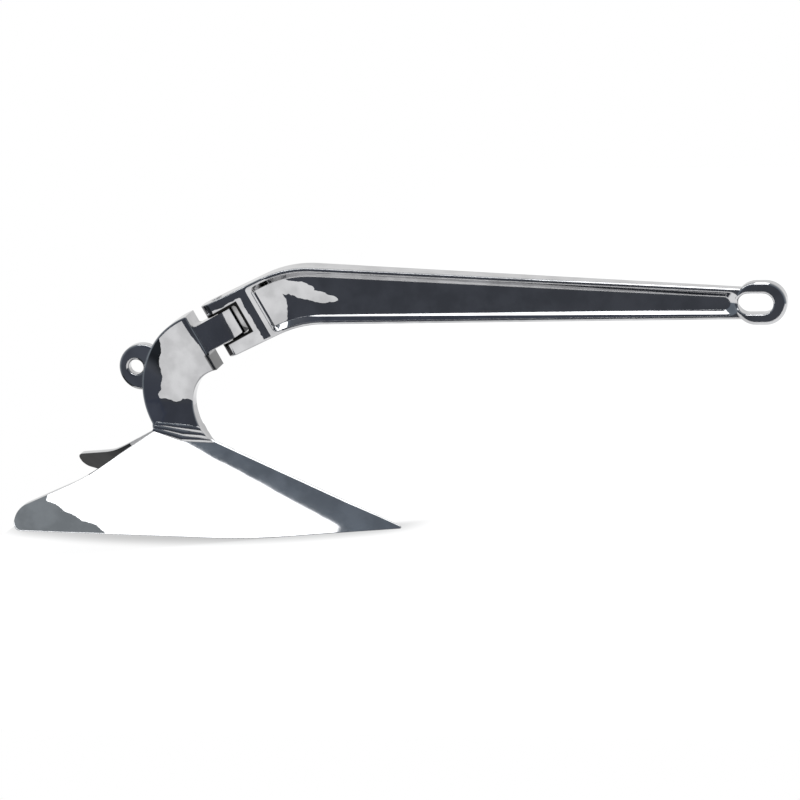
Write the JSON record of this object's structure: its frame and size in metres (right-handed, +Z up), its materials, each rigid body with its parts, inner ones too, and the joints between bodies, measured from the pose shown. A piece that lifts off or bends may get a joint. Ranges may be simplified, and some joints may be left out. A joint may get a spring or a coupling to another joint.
{
  "type": "plough anchor",
  "caption": "Plough anchor with a hinged I-section shank, a ridged share with spread wings, a welded horn with a trip-line eye, and a slotted shackle eye.",
  "frame": {"origin": "on the ground the share stands on, below the middle of the whole anchor", "axes": "+X along the shank towards the shackle eye, +Z up, the XZ plane halves the anchor"},
  "size_m": [0.9059, 0.3462, 0.3217],
  "materials": {
    "share_steel": "mirror polished",
    "horn_steel": "mirror polished",
    "shank_steel": "mirror polished",
    "pin_steel": "turned"
  },
  "bodies": {
    "plough": {"share": "share_steel", "horn": "horn_steel"},
    "shank": {"shank": "shank_steel", "hinge_pin": "pin_steel"}
  },
  "joints": [
    {"name": "shank_swing", "type": "hinge", "parent": "plough", "child": "shank", "pos_m": [-0.217, 0, 0.252], "axis": [-0.4695, 0, 0.8829], "range_deg": [-36, 36]}
  ]
}
